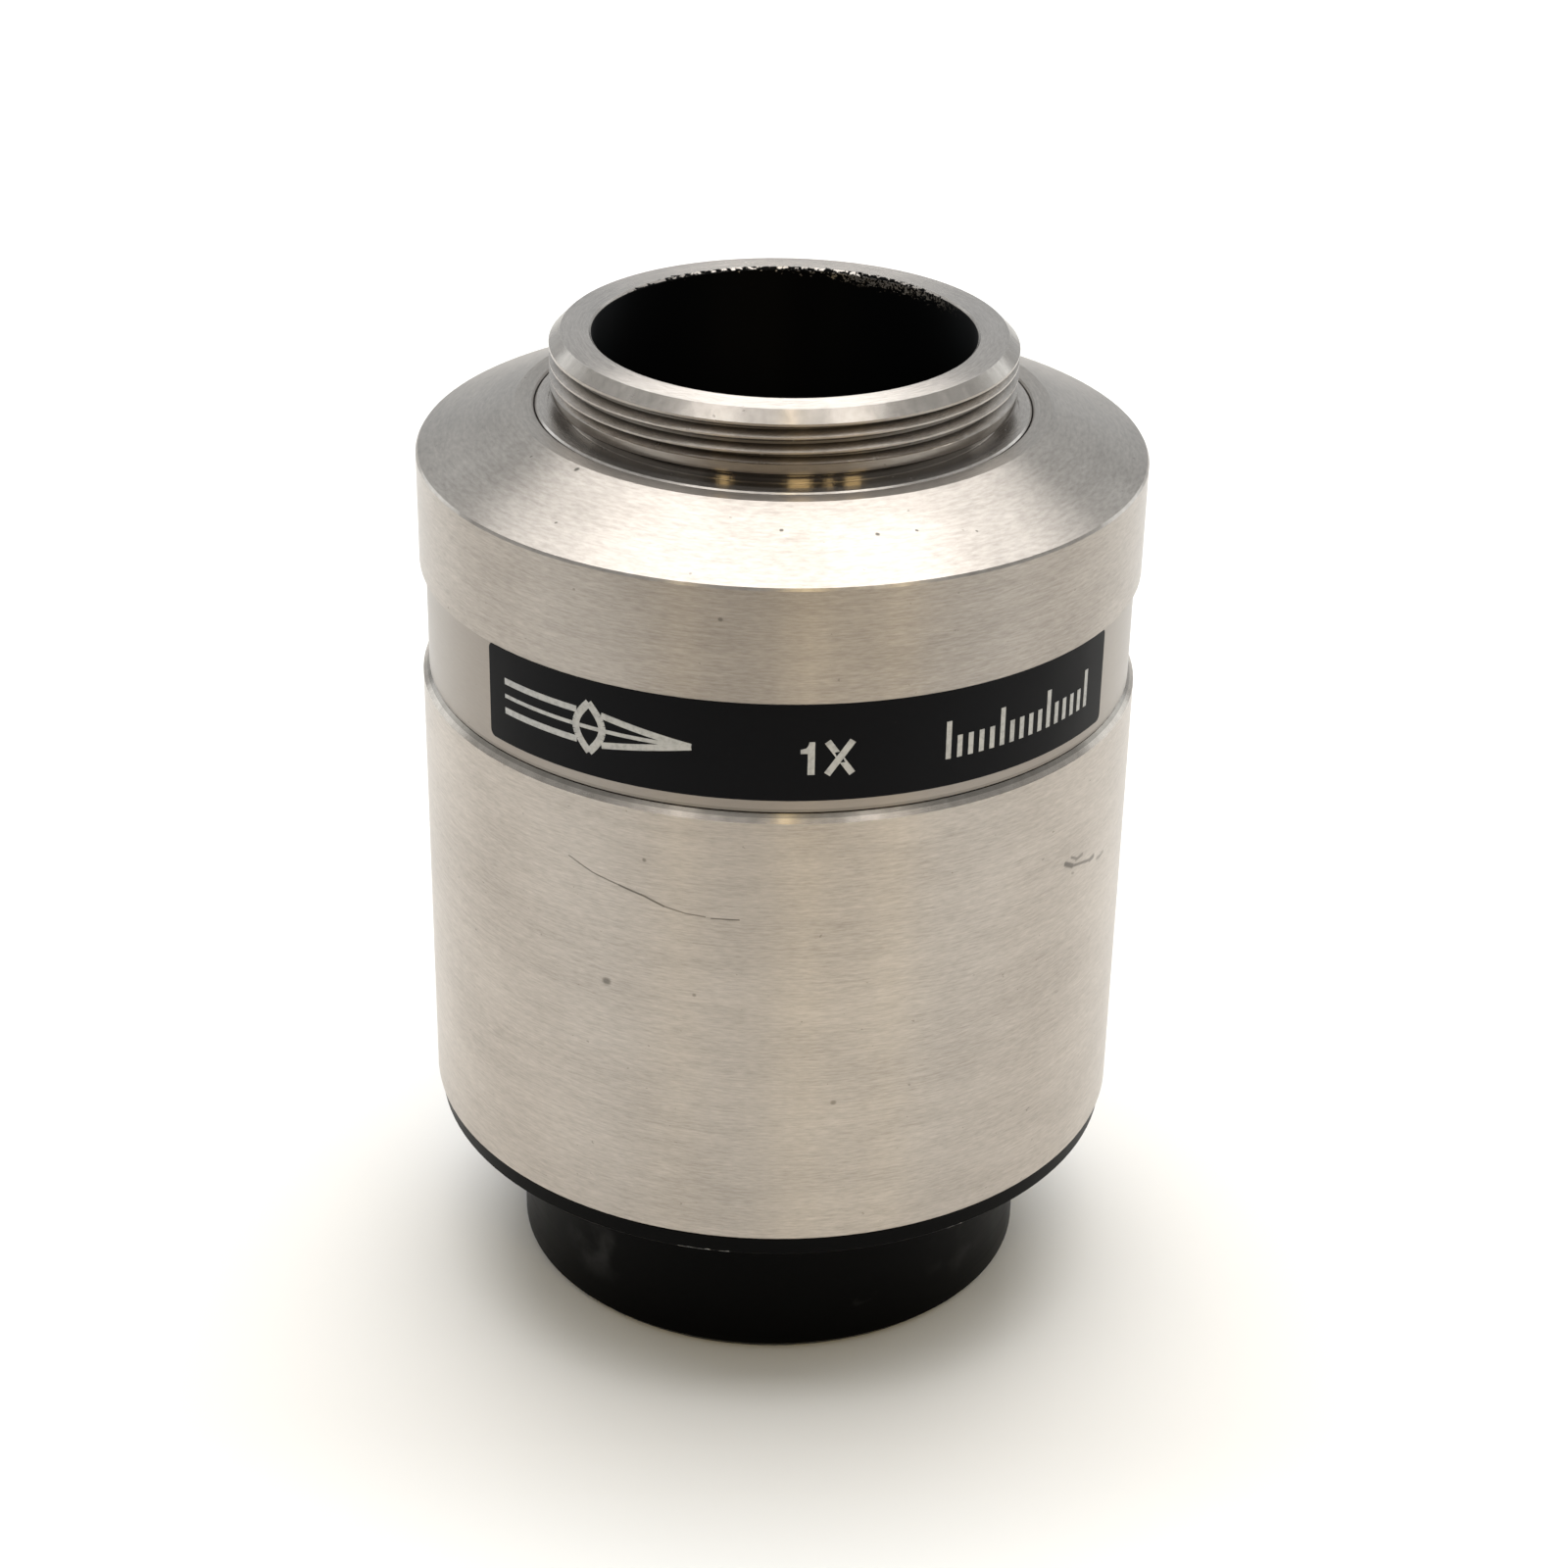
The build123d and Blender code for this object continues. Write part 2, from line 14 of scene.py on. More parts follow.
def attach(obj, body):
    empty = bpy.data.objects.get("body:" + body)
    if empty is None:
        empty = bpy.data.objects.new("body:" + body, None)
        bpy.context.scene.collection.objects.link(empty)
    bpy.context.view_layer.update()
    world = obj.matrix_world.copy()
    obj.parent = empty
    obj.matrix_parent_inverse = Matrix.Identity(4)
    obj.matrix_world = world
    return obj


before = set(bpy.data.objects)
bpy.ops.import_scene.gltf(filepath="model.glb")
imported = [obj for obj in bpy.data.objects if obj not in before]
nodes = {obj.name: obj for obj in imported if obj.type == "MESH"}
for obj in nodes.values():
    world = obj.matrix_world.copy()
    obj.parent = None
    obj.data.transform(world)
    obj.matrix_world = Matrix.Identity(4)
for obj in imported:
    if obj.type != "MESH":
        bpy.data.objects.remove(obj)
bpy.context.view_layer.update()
MM = 0.001

# %% [markdown]
# ## Camera
# The object is seen from the front and a little above, from close by, so its barrel narrows
# towards the bottom. The angle, distance and small roll are set as numbers, and the three axes
# of the camera are worked out from them.

# %% Place the camera
PICTURE, SENSOR_WIDTH, CLIP_START = 1600, 36, 0.01     # the picture is 1600 units across
ELEVATION, ROLL = math.radians(27.494), math.radians(1.132)
DISTANCE, FOCAL_LENGTH = 0.1836, 3240.86               # the focal length is in those units
AIM = Vector((0.00044, 0, 0.0292))

view = Vector((0, math.cos(ELEVATION), -math.sin(ELEVATION)))
right, up = Vector((1, 0, 0)), Vector((0, math.sin(ELEVATION), math.cos(ELEVATION)))
right, up = (right * math.cos(ROLL) + up * math.sin(ROLL),
             up * math.cos(ROLL) - right * math.sin(ROLL))
camera_data = bpy.data.cameras.new("camera")
camera_data.sensor_width = SENSOR_WIDTH
camera_data.lens = FOCAL_LENGTH * SENSOR_WIDTH / PICTURE
camera_data.clip_start = CLIP_START
camera = bpy.data.objects.new("camera", camera_data)
bpy.context.collection.objects.link(camera)
axes = Matrix((right, up, -view)).transposed().to_4x4()
camera.matrix_world = Matrix.Translation(AIM - view * DISTANCE) @ axes
bpy.context.scene.camera = camera
print("lens", round(camera_data.lens, 2), "mm at", [round(x, 4) for x in camera.location])

# %% [markdown]
# ## Light
# Turned metal shows little of its own colour: it shows what is round it. A pale floor and a
# surrounding that grows brighter towards the back give the soft greys. A broad softbox overhead
# lights the front of the cone, with a narrow strip on each side of it. Two square softboxes set
# back at the sides light the edges of the barrel. A dark board far in front keeps the middle of
# the barrel quieter than its edges.

# %% Floor, surroundings and softboxes
SKY_COLOUR, SKY_FRONT, SKY_BACK, SKY_TURN = (0.93, 0.97, 1.0, 1), 0.42, 0.70, 0.6
COOL, WHITE, WARM = (0.88, 0.95, 1), (1, 1, 1), (1, 0.80, 0.42)

scene = bpy.context.scene
scene.view_settings.view_transform = "Standard"
world = bpy.data.worlds.new("studio")
scene.world = world
world.use_nodes = True
sky = world.node_tree
background = sky.nodes["Background"]
background.inputs["Color"].default_value = SKY_COLOUR
direction = sky.nodes.new("ShaderNodeTexCoord")
split = sky.nodes.new("ShaderNodeSeparateXYZ")
depth = sky.nodes.new("ShaderNodeMapRange")
for socket, value in (("From Min", -SKY_TURN), ("From Max", SKY_TURN),
                      ("To Min", SKY_FRONT), ("To Max", SKY_BACK)):
    depth.inputs[socket].default_value = value
sky.links.new(direction.outputs["Generated"], split.inputs[0])
sky.links.new(split.outputs["Y"], depth.inputs["Value"])
sky.links.new(depth.outputs[0], background.inputs["Strength"])


def sheet_of(name, corners):
    """A flat four-cornered sheet, for the floor and the board in front."""
    mesh = bpy.data.meshes.new(name)
    mesh.from_pydata(corners, [], [tuple(range(4))])
    piece = bpy.data.objects.new(name, mesh)
    bpy.context.collection.objects.link(piece)
    return piece


def softbox(name, place, aim, size, power, colour=WHITE):
    """A rectangular light at a place, turned to face a point."""
    light = bpy.data.lights.new(name, "AREA")
    light.shape = "RECTANGLE"
    light.size, light.size_y = size
    light.energy, light.color = power, colour
    lamp = bpy.data.objects.new(name, light)
    bpy.context.collection.objects.link(lamp)
    lamp.location = place
    lamp.rotation_euler = (Vector(aim) - Vector(place)).to_track_quat("-Z", "Y").to_euler()


FLOOR_HALF, BOARD_HALF = 1.2, 0.45
STRIP_X, STRIP_Y, CEILING = 0.286, 0.37, 0.5
SIDE_X, SIDE_Y, SIDE_Z, MIDDLE = 0.42, 0.3, 0.14, (0, 0, 0.03)
floor = sheet_of("floor", [(-FLOOR_HALF, -FLOOR_HALF, 0), (FLOOR_HALF, -FLOOR_HALF, 0),
                           (FLOOR_HALF, FLOOR_HALF, 0), (-FLOOR_HALF, FLOOR_HALF, 0)])
front_board = sheet_of("front_board", [(-BOARD_HALF, -0.5, 0), (BOARD_HALF, -0.5, 0),
                                       (BOARD_HALF, -0.56, 0.42), (-BOARD_HALF, -0.56, 0.42)])
softbox("overhead", (0, 0.22, CEILING), (0, 0.22, 0), (0.48, 0.72), 3.3)
for side, x, power in (("left", -STRIP_X, 0.15), ("right", STRIP_X, 0.18)):
    softbox("overhead_" + side, (x, STRIP_Y, CEILING), (x, STRIP_Y, 0), (0.04, 0.36), power)
for side, x, power in (("left", -SIDE_X, 0.2), ("right", SIDE_X, 0.22)):
    softbox(side + "_box", (x, SIDE_Y, SIDE_Z), MIDDLE, (0.24, 0.24), power, COOL)
print("floor", 2 * FLOOR_HALF, "m across, front board", 2 * BOARD_HALF, "m wide")

# %% [markdown]
# Small lamps in the room leave glints: warm ones in the neck and on the turned edges near the
# middle, and two white ones beside them. They are weak, so they add little light elsewhere.

# %% Small lamps for the glints
HIGH_LAMPS = (("high_warm_lamp", (0.02, -0.24, 0.46), (0.03, 0.08), 0.03, WARM),
              ("high_left_lamp", (-0.17, -0.20, 0.46), (0.06, 0.06), 0.025, WHITE),
              ("high_right_lamp", (0.17, -0.20, 0.46), (0.06, 0.06), 0.03, WHITE))
LOW_LAMPS = ((-0.25, 0.05, 0.15), (0.07, 0.09, 0.27), (0.20, 0.03, 0.07), (0.33, 0.08, 0.26))
LOW_LAMP_Y, LOW_LAMP_Z, LOW_LAMP_HEIGHT, SHOULDER = -0.45, 0.24, 0.15, (0, 0, 0.05)

for name, place, size, power, colour in HIGH_LAMPS:
    softbox(name, place, SHOULDER, size, power, colour)
for number, (x, width, power) in enumerate(LOW_LAMPS, 1):
    softbox(f"low_warm_lamp_{number}", (x, LOW_LAMP_Y, LOW_LAMP_Z), SHOULDER,
            (width, LOW_LAMP_HEIGHT), power, WARM)

# %% [markdown]
# ## Writing finishes as sums
# A finish is a web of small nodes. Written as Python sums it stays readable, so a Wire wraps one
# socket and knows how to add, subtract, multiply and divide, and a Finish makes every other node
# with one method.

# %% Shader maths
class Wire:
    """One value in a finish. Sums on it add Math nodes."""

    def __init__(self, finish, socket):
        self.finish, self.socket = finish, socket

    def sum(self, operation, *values):
        inputs = dict(enumerate(values))
        return self.finish.make("ShaderNodeMath", {"operation": operation}, inputs)

    def __add__(self, other): return self.sum("ADD", self, other)
    def __radd__(self, other): return self.sum("ADD", other, self)
    def __sub__(self, other): return self.sum("SUBTRACT", self, other)
    def __rsub__(self, other): return self.sum("SUBTRACT", other, self)
    def __mul__(self, other): return self.sum("MULTIPLY", self, other)
    def __rmul__(self, other): return self.sum("MULTIPLY", other, self)
    def __truediv__(self, other): return self.sum("DIVIDE", self, other)
    def __gt__(self, other): return self.sum("GREATER_THAN", self, other)
    def __lt__(self, other): return self.sum("LESS_THAN", self, other)


class Finish:
    """A material under construction."""

    def __init__(self, name):
        self.material = bpy.data.materials.new(name)
        self.material.use_nodes = True
        self.tree = self.material.node_tree
        self.tree.nodes.clear()

    def make(self, kind, settings=None, inputs=None, out=0):
        """Adds a node: its settings first, then the values or links of its sockets."""
        node = self.tree.nodes.new(kind)
        for key, value in (settings or {}).items():
            setattr(node, key, value)
        for key, value in (inputs or {}).items():
            socket = node.inputs[key]
            if isinstance(value, Wire):
                self.tree.links.new(value.socket, socket)
            else:
                socket.default_value = value
        return Wire(self, node.outputs[out]) if node.outputs else node

    def blend(self, share, first, second):
        """Mixes two colours; share 0 gives the first."""
        return self.make("ShaderNodeMix", {"data_type": "RGBA"},
                         {0: share, 6: first, 7: second}, out=2)

    def step(self, value, low, high):
        """0 under low, 1 over high, and a smooth slope between."""
        return self.make("ShaderNodeMapRange", {"interpolation_type": "SMOOTHSTEP"},
                         {"Value": value, "From Min": low, "From Max": high})

    def place(self):
        """The object's own coordinates in mm: x, y, z, radius, and angle from the front."""
        coordinates = self.make("ShaderNodeTexCoord", out="Object")
        split = self.make("ShaderNodeSeparateXYZ", inputs={0: coordinates})
        outputs = split.socket.node.outputs
        x, y, z = (Wire(self, outputs[i]) * 1000 for i in range(3))
        square = x * x + y * y
        radius = square.sum("SQRT", square)
        angle = x.sum("ARCTAN2", x, y * -1)
        return x, y, z, radius, angle

    def vector(self, x, y, z):
        return self.make("ShaderNodeCombineXYZ", inputs={0: x, 1: y, 2: z})

    def noise(self, vector, detail, roughness=0.5):
        return self.make("ShaderNodeTexNoise", {"noise_dimensions": "3D"},
                         {"Vector": vector, "Scale": 1.0, "Detail": detail,
                          "Roughness": roughness}, out="Fac")

    def bump(self, height, strength, distance):
        return self.make("ShaderNodeBump", inputs={
            "Height": height, "Strength": strength, "Distance": distance})

    def surface(self, **inputs):
        """Ends the tree with one Principled shader."""
        named = {key.replace("_", " "): value for key, value in inputs.items()}
        shader = self.make("ShaderNodeBsdfPrincipled", inputs=named)
        self.make("ShaderNodeOutputMaterial", inputs={"Surface": shader})
        return self.material


def give(material, *names):
    """Puts a finish on CAD nodes."""
    for name in names:
        piece = nodes[name]
        if not piece.data.materials:
            piece.data.materials.append(material)
        for slot in piece.material_slots:
            slot.material = material
    print(material.name, "on", ", ".join(names))


def grey(value, warmth=0.0):
    return (value, value * (1 - warmth), value * (1 - 2 * warmth), 1)

# %% [markdown]
# ## Turned steel
# A lathe leaves fine rings round the axis, so the metal glints along its length and stays crisp
# round it. Anisotropy does that: the tangent of a piece without a map runs round its Z axis, and
# a quarter turn lays the blur across the rings. The rings themselves are noise stretched round
# the axis. One distance, height plus radius, runs across the rings on walls, cones and faces.
#
# A piece can also have marks on its wall, pits on its cone, a sanded band painted darker, zones
# of painted shade, polished zones, grime and painted shade in its corners, a painted inside, and
# a face whose shading is a little crowned.

# %% The turned finish
BODY_ARC, SPIGOT_ARC = 20, 15    # radii in mm that turn an angle into a distance round a wall
# The second colour darkens hollows and joints: grime and painted shade.
DIRT, GRIME_AND_SHADE = (0.06, 0.055, 0.045, 1), (0.05, 0.043, 0.035, 1)
GRAIN_BUMP, GRAIN_DEPTH = 0.2, 0.000004


def strokes(finish, across, along, lines):
    """A mask of thin straight strokes: each has two ends, a half width and a depth."""
    mask = None
    for (x0, y0), (x1, y1), half_width, depth in lines:
        dx, dy = x1 - x0, y1 - y0
        length = dx * dx + dy * dy
        share = ((across - x0) * dx + (along - y0) * dy) / max(length, 1e-9)
        share = finish.make("ShaderNodeClamp", inputs={0: share})
        off_x, off_y = across - x0 - share * dx, along - y0 - share * dy
        square = off_x * off_x + off_y * off_y
        distance = square.sum("SQRT", square)
        stroke = (1 - finish.step(distance, half_width * 0.4, half_width * 1.3)) * depth
        mask = stroke if mask is None else stroke.sum("MAXIMUM", stroke, mask)
    return mask


def zone_of(z, radius, low, high, inner, outer):
    """1 between two heights and two radii, and 0 elsewhere."""
    return (z > low) * (z < high) * (radius > inner) * (radius < outer)


def turned_steel(name, dark, light, roughness, marks=(), pits=(), sanded_and_shaded=None, paint=None,
                 grime_and_shade=(), polished=(), painted_shade=(), crown=None):
    """Silver turned metal with rings, clouds, small marks and, on the nose, black paint."""
    finish = Finish(name)
    x, y, z, radius, angle = finish.place()
    run = z + radius
    fine = finish.noise(finish.vector(x * 0.10, y * 0.10, run * 7), detail=3)
    dash = finish.noise(finish.vector(x * 1.5, y * 1.5, run * 11), detail=3, roughness=0.6)
    broad = finish.noise(finish.vector(x * 0.2, y * 0.2, run * 1.2), detail=3)
    cloud = finish.noise(finish.vector(x * 0.11, y * 0.11, z * 0.16), detail=3)
    speck = finish.noise(finish.vector(x * 2.2, y * 2.2, z * 3.2), detail=2)
    tone = ((fine - 0.5) * 0.6 + (dash - 0.5) * 1.5 + (broad - 0.5) * 0.5
            + (cloud - 0.5) * 0.95 + 0.5)
    dirt = finish.step(speck, 0.73, 0.78) * 0.35
    if marks:
        dirt = dirt.sum("MAXIMUM", dirt, strokes(finish, angle * BODY_ARC, z, marks))
    if pits:
        dirt = dirt.sum("MAXIMUM", dirt, strokes(finish, x, y, pits))
    colour = finish.blend(finish.make("ShaderNodeClamp", inputs={0: tone}), dark, light)
    # The sanded band is grainy, and its own colour paints it darker: painted shade.
    if sanded_and_shaded:
        low, high, shade = sanded_and_shaded
        above = finish.step(z, low - 0.02, low + 0.02)
        below = 1 - finish.step(z, high - 0.02, high + 0.02)
        colour = finish.blend(above * below * 0.85, colour, finish.blend(speck, shade, dark))
    # Painted shade: zones pulled towards a darker, warmer tint stand in for shade and dark
    # reflections.
    for low, high, inner, outer, shade_colour, share in painted_shade:
        zone = zone_of(z, radius, low, high, inner, outer)
        colour = finish.blend(zone * share, colour, shade_colour)
    # Grime and painted shade: hollows inside a radius, between two heights, are darkened.
    for inner, outer, low, high, share in grime_and_shade:
        valley = (1 - finish.step(radius, inner, outer)) * (z > low) * (z < high)
        colour = finish.blend(valley * share, colour, GRIME_AND_SHADE)
    colour = finish.blend(dirt, colour, DIRT)
    rough = (fine - 0.5) * 0.06 + (cloud - 0.5) * 0.06 + dirt * 0.2 + roughness
    for low, high, inner, outer, share in polished:
        zone = zone_of(z, radius, low, high, inner, outer)
        rough = rough * (1 - zone * (1 - share))
    metal = 1.0
    if paint:
        colour, rough, metal = paint(finish, x, y, z, radius, angle, colour, rough)
    height = fine * 0.4 + dash * 0.6 - dirt * 0.5
    if crown:
        inner, outer, slope = crown
        height = height - finish.make("ShaderNodeClamp", inputs={
            "Value": radius - inner, "Max": outer - inner}) * slope
    return finish.surface(
        Base_Color=colour, Metallic=metal, Roughness=rough, Anisotropic=0.9,
        Anisotropic_Rotation=0.25, Specular_IOR_Level=0.05,
        Normal=finish.bump(height, GRAIN_BUMP, GRAIN_DEPTH))


# %% [markdown]
# ## The barrel
# The lower barrel carries the wear: one long curved scratch on the left, a scribble on the
# right, and a few dots. Each is a short row of straight strokes, placed by its angle from the
# front and its height, so it stays where it is from every side. The chamfer at the barrel's top
# carries painted shade: a warm painted reflection on it, darker towards the joint.

# %% Scratches, dots and the barrel finish
def trail(points, half_width, depth):
    """Joins points, in degrees from the front and millimetres of height, into strokes."""
    flat = [(math.radians(a) * BODY_ARC, h) for a, h in points]
    return [(p, q, half_width, depth) for p, q in zip(flat, flat[1:])]


def trails(*rows):
    return [stroke for row in rows for stroke in trail(*row)]


long_scratch = trails(
    ([(-32.57, 33.50), (-28.35, 32.93), (-23.8, 32.59)], 0.045, 0.55),
    ([(-23.8, 32.59), (-19.62, 32.25), (-16.57, 31.86)], 0.065, 0.65),
    ([(-16.57, 31.86), (-13.25, 31.63), (-10.16, 31.565)], 0.045, 0.55),
    ([(-9.2, 31.51), (-5.03, 31.554)], 0.045, 0.6))
faint_scratches = trails(
    ([(-14.3, 29.92), (2.5, 29.87)], 0.03, 0.15),
    ([(2.5, 29.87), (16.7, 29.62)], 0.03, 0.12))
dots = trails(
    ([(-26.15, 26.52), (-25.95, 26.52)], 0.24, 0.5),
    ([(-19.7, 34.4), (-19.6, 34.4)], 0.11, 0.45),
    ([(-11.8, 26.74), (-11.7, 26.74)], 0.10, 0.4),
    ([(9.8, 20.27), (9.9, 20.27)], 0.16, 0.4))
scribble = trails(
    ([(52.0, 31.06), (54.0, 30.66)], 0.17, 0.6),
    ([(54.0, 30.66), (57.4, 30.35), (59.9, 30.12)], 0.10, 0.5),
    ([(59.9, 30.12), (61.1, 30.15)], 0.16, 0.5),
    ([(53.6, 31.23), (55.4, 30.90)], 0.09, 0.45),
    ([(55.1, 30.89), (57.0, 30.92)], 0.13, 0.4),
    ([(62.7, 29.73), (63.7, 29.69)], 0.12, 0.35),
    ([(63.7, 29.69), (65.3, 29.73)], 0.11, 0.4),
    ([(54.1, 30.18), (54.5, 30.13)], 0.09, 0.35))
RIM_LOW, RIM_MIDDLE, RIM_HIGH = 37.26, 37.5, 37.72
# Painted shade on the rim chamfer: a warm brown painted reflection, and a darker painted shade by
# the joint.
barrel_steel = turned_steel(
    "barrel_turned_steel", grey(0.365, 0.105), grey(0.565, 0.095), 0.33,
    marks=long_scratch + faint_scratches + dots + scribble,
    painted_shade=[(RIM_LOW, RIM_MIDDLE, 19.5, 20.02, (0.20, 0.16, 0.11, 1), 0.25),
            (RIM_MIDDLE, RIM_HIGH, 19.5, 19.85, (0.06, 0.05, 0.03, 1), 0.5)],
    polished=[(RIM_LOW, RIM_HIGH, 19.5, 20.02, 0.7)])
give(barrel_steel, "lower_barrel")

# %% [markdown]
# ## The upper body
# The cone and the band above the label are cut in the same bar as the label's recess. Their
# tones are painted darker than the barrel's, as painted shade. The floor of the recess was sanded
# for the label's glue, so the strip that shows below the label is grainy, and it is painted darker
# too, a painted reflection of the barrel's rim. Small pits mark the cone.

# %% Cone, band and recess finish
RECESS_LOW, RECESS_HIGH = 37.72, 44.03
cone_pits = [((x, y), (x + 0.05, y), size, 0.7) for x, y, size in (
    (0.04, -16.37, 0.09), (4.85, -16.12, 0.10), (6.83, -15.46, 0.07), (-10.57, -10.49, 0.13),
    (-13.1, -8.2, 0.06), (-11.4, -14.1, 0.06), (9.9, -14.6, 0.05))]
band_dots = trails(([(-8.3, 48.6), (-8.2, 48.6)], 0.12, 0.5),
                   ([(-31, 48.9), (-30.9, 48.9)], 0.07, 0.4))
# Painted shade: darker tones than the barrel's, a darker recess strip, and grime and painted shade
# at the foot of the recess by the joint.
upper_steel = turned_steel(
    "upper_turned_steel", grey(0.305, 0.105), grey(0.49, 0.095), 0.31, pits=cone_pits,
    marks=band_dots, sanded_and_shaded=(RECESS_LOW, RECESS_HIGH, grey(0.29, 0.105)),
    grime_and_shade=[(19.7, 19.8, 37.6, 37.95, 0.25)])
give(upper_steel, "upper_body")

# %% [markdown]
# ## The camera nose
# The nose is bright outside and painted black inside to stop stray light. The paint was brushed
# on by hand, so its edge at the rim is ragged and bare metal glints through at the back. One
# finish does both: the distance from the axis says which side of the wall a point is on. The
# face is flat, but its shading slopes a little outwards, so that the front of it is brighter.

# %% Bright outside, black inside
BORE_RADIUS = 10.4


def bore_paint(finish, x, y, z, radius, angle, colour, rough):
    """Black paint on the bore, chipped near the rim at the back."""
    grain = finish.noise(finish.vector(x * 3.2, y * 3.2, z * 5), detail=4, roughness=0.65)
    slow = finish.noise(finish.vector(x * 0.5, y * 0.5, z * 0.5), detail=2)
    back = finish.step(angle.sum("ABSOLUTE", angle), 1.9, 2.7)
    inside = 1 - finish.step(radius, BORE_RADIUS + 0.02, BORE_RADIUS + 0.06)
    spill = (radius < (grain - 0.42) * back * 1.6 + BORE_RADIUS) * (radius > BORE_RADIUS)
    bare_side = finish.step(x + slow * 4, -1, 8) * 0.65 - 0.35
    flecks = finish.noise(finish.vector(x * 6, y * 6, z * 7), detail=3, roughness=0.6)
    chip = finish.step(z + (grain - 0.5) * 2.4 + bare_side, 56.5, 56.7) * back
    chip = chip * finish.step(flecks, 0.47, 0.56)
    black = inside.sum("MAXIMUM", inside * (1 - chip), spill)
    colour = finish.blend(black, colour, (0.0008, 0.0008, 0.0008, 1))
    return colour, rough * (1 - black) + black * 0.6, 1 - black


NECK = (52.76, 54.05, 11.9, 12.75)      # heights, then radii, of the groove under the thread
RIM = (56.1, 56.79, 12.05, 12.8)        # the same for the chamfer at the top
# Painted shade: the groove under the thread and the top chamfer are pulled towards dark tints; the
# thread roots and the groove by the seat carry grime and painted shade.
nose_steel = turned_steel(
    "nose_turned_steel", grey(0.365, 0.095), grey(0.555, 0.085), 0.26, paint=bore_paint,
    grime_and_shade=[(12.2, 12.66, 53.95, 56.15, 0.75), (12.72, 12.8, 52.76, 54.0, 0.5)],
    crown=(10.55, 12.1, 200),
    painted_shade=[(*NECK, (0.14, 0.11, 0.07, 1), 0.12), (*RIM, (0.20, 0.17, 0.13, 1), 0.25)],
    polished=[(*NECK, 0.35)])
give(nose_steel, "camera_nose")

# %% [markdown]
# ## Black anodised parts
# The base, the lens tube and its ring are aluminium with a thin black oxide. It is semi-gloss
# with a faint grain, and where an edge was knocked the bright metal shows.

# %% Anodised black, with chipped edges
def anodised(name, roughness, chips=(), scuffs=()):
    finish = Finish(name)
    x, y, z, radius, angle = finish.place()
    run = z + radius
    lines = finish.noise(finish.vector(x * 0.1, y * 0.1, run * 8), detail=3)
    cloud = finish.noise(finish.vector(x * 0.35, y * 0.35, z * 0.35), detail=4)
    colour = finish.blend(cloud, (0.0003, 0.0003, 0.0003, 1), (0.001, 0.001, 0.001, 1))
    metal, rough = 0.0, (cloud - 0.5) * 0.16 + (lines - 0.5) * 0.12 + roughness
    if scuffs:
        scuff = strokes(finish, angle * SPIGOT_ARC, z, scuffs)
        scuff = scuff * finish.step(cloud, 0.42, 0.68)
        colour = finish.blend(scuff, colour, (0.045, 0.045, 0.047, 1))
    if chips:
        flake = finish.noise(finish.vector(x * 3, y * 3, z * 6), detail=4, roughness=0.6)
        knocks = strokes(finish, angle * BODY_ARC, z, chips) * finish.step(radius, 19.2, 19.5)
        metal = finish.step(knocks * flake, 0.40, 0.46)
        colour = finish.blend(metal, colour, (0.50, 0.49, 0.47, 1))
    return finish.surface(Base_Color=colour, Metallic=metal, Roughness=rough,
                          Specular_IOR_Level=0.05,
                          Normal=finish.bump(lines + cloud, GRAIN_BUMP, GRAIN_DEPTH))


def arc(degrees, radius):
    return math.radians(degrees) * radius


base_chips = [((arc(a, BODY_ARC), 10.22), (arc(a + 2.2, BODY_ARC), 10.26), 0.16, 1.0)
              for a in (-14.2, -11.6, -8.4, 31.0, 118.0, -157.0)]
base_scuffs = [((arc(a, SPIGOT_ARC), h), (arc(a + 5, SPIGOT_ARC), h + 0.3), size, depth)
               for a, h, size, depth in ((20.5, 2.9, 0.3, 0.5), (-44.0, 4.2, 1.9, 0.5),
                                         (47.0, 4.4, 2.1, 0.4), (-56.0, 6.4, 1.1, 0.4),
                                         (140.0, 5.0, 1.6, 0.4), (-150.0, 3.4, 1.2, 0.4))]
give(anodised("base_black_anodised", 0.36, chips=base_chips, scuffs=base_scuffs), "base_spigot")
give(anodised("inner_black_anodised", 0.45), "lens_tube", "tube_lock_ring")
give(anodised("light_trap_black", 0.75), "lower_spacer", "upper_spacer", "aperture_stop",
     "lens_retaining_ring")

# %% [markdown]
# ## Glass, screws and small parts
# The lenses are clear with a thin coating that tints their reflection. The screws are blackened
# steel, the clip and the shim are plain spring steel, and the pad is nylon.

# %% Glass and small parts
def plain(name, dark, light, metal, roughness, scale):
    """A small part's finish: two tones clouded together."""
    finish = Finish(name)
    x, y, z, radius, angle = finish.place()
    cloud = finish.noise(finish.vector(x * scale, y * scale, z * scale), detail=4)
    rough = (cloud - 0.5) * 0.2 + roughness
    return finish.surface(Base_Color=finish.blend(cloud, dark, light), Metallic=metal,
                          Roughness=rough, Normal=finish.bump(cloud, 0.15, 0.000005))


glass = Finish("coated_glass")
coated_glass = glass.surface(
    Base_Color=(0.96, 0.99, 0.97, 1), Transmission_Weight=1.0, Roughness=0.02, IOR=1.52,
    Thin_Film_Thickness=130.0, Thin_Film_IOR=1.38)
give(coated_glass, "port_lens_concave", "port_lens_meniscus", "camera_lens_convex",
     "camera_lens_meniscus")
give(plain("blackened_steel", grey(0.012), grey(0.03), 0.6, 0.35, 1.5), "lock_screw",
     "barrel_set_screws")
give(plain("spring_steel", grey(0.34), grey(0.45), 1.0, 0.3, 0.8), "nose_clip", "tube_shim")
give(plain("nylon", (0.7, 0.68, 0.62, 1), (0.8, 0.78, 0.72, 1), 0.0, 0.5, 0.8), "lock_pad")

